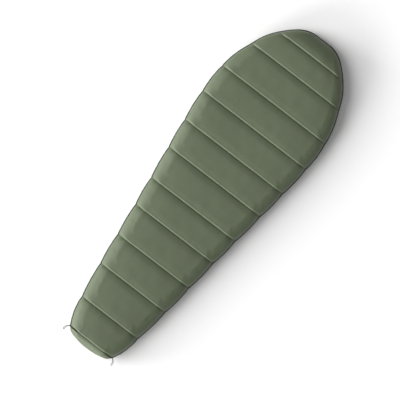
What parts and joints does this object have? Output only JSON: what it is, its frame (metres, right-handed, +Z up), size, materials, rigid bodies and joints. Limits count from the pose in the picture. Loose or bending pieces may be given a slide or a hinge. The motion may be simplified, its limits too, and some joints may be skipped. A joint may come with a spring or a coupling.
{
  "type": "mummy sleeping bag",
  "caption": "Quilted mummy sleeping bag lying closed on its front: tapered body, hooded head end with drawcord and cord lock, side zip, domed foot end and two hanging loops.",
  "frame": {"origin": "on the ground under the middle of the bag's bounding box", "axes": "+Z up out of the quilted back, +Y from the foot end to the head end, +X across the bag towards the side that has the zip"},
  "size_m": [0.7316, 2.15, 0.13],
  "materials": {
    "shell_fabric": "olive green woven nylon, slight sheen",
    "lining_fabric": "dark grey-green woven polyester, soft",
    "insulation": "white hollow-fibre wadding",
    "binding": "dark grey-green woven binding tape",
    "webbing": "dark grey grosgrain tape",
    "drawcord": "black braided cord",
    "zip_tape": "dark knitted polyester tape",
    "zip_coil": "black polyester monofilament coil",
    "zip_metal": "dark painted zinc",
    "cord_lock_plastic": "black moulded plastic",
    "spring_steel": "spring steel wire"
  },
  "bodies": {
    "bag": {"back_fill_01": "insulation", "back_fill_02": "insulation", "back_fill_03": "insulation", "back_fill_04": "insulation", "back_fill_05": "insulation", "back_fill_06": "insulation", "back_fill_07": "insulation", "back_fill_08": "insulation", "back_fill_09": "insulation", "back_fill_10": "insulation", "back_fill_11": "insulation", "back_fill_12": "insulation", "back_liner": "lining_fabric", "back_shell": "shell_fabric", "cord_lock_body": "cord_lock_plastic", "cord_lock_spring": "spring_steel", "foot_end_fill": "insulation", "foot_end_liner": "lining_fabric", "foot_end_shell": "shell_fabric", "foot_seam_binding": "binding", "front_fill_01": "insulation", "front_fill_02": "insulation", "front_fill_03": "insulation", "front_fill_04": "insulation", "front_fill_05": "insulation", "front_fill_06": "insulation", "front_fill_07": "insulation", "front_fill_08": "insulation", "front_fill_09": "insulation", "front_fill_10": "insulation", "front_fill_11": "insulation", "front_fill_12": "insulation", "front_liner": "lining_fabric", "front_shell_foot": "shell_fabric", "front_shell_hood": "shell_fabric", "front_shell_middle": "shell_fabric", "hood_drawcord": "drawcord", "hood_hem": "binding", "neck_collar": "lining_fabric", "side_seam_binding": "binding", "zip_bottom_stop": "zip_metal", "zip_coil_back": "zip_coil", "zip_coil_front": "zip_coil", "zip_draft_tube": "lining_fabric", "zip_tape_back": "zip_tape", "zip_tape_front": "zip_tape", "zip_top_stops": "zip_metal"},
    "zip_slider": {"zip_slider": "zip_metal"},
    "zip_pull": {"zip_pull": "zip_metal"},
    "cord_lock_plunger": {"cord_lock_plunger": "cord_lock_plastic"},
    "hanging_loop_left": {"hanging_loop_left": "webbing"},
    "hanging_loop_right": {"hanging_loop_right": "webbing"}
  },
  "joints": [
    {"name": "zip_slide", "type": "slide", "parent": "bag", "child": "zip_slider", "axis": [-0.1208, -0.9927, 0], "range_m": [0, 1.045]},
    {"name": "zip_pull_hinge", "type": "hinge", "parent": "zip_slider", "child": "zip_pull", "pos_m": [0.35072, 0.42248, 0.046], "axis": [0, 0, 1], "range_deg": [0, 175]},
    {"name": "cord_lock_press", "type": "slide", "parent": "bag", "child": "cord_lock_plunger", "axis": [0, 0, -1], "range_m": [0, 0.0035], "stiffness_N_per_m": 800, "springref_m": -0.004, "deforming": ["cord_lock_spring"]},
    {"name": "hanging_loop_left_swing", "type": "hinge", "parent": "bag", "child": "hanging_loop_left", "pos_m": [-0.1478, -1.034, 0.06], "axis": [0, 0, 1], "range_deg": [-30, 30]},
    {"name": "hanging_loop_right_swing", "type": "hinge", "parent": "bag", "child": "hanging_loop_right", "pos_m": [0.1478, -1.034, 0.06], "axis": [0, 0, 1], "range_deg": [-30, 30]}
  ]
}
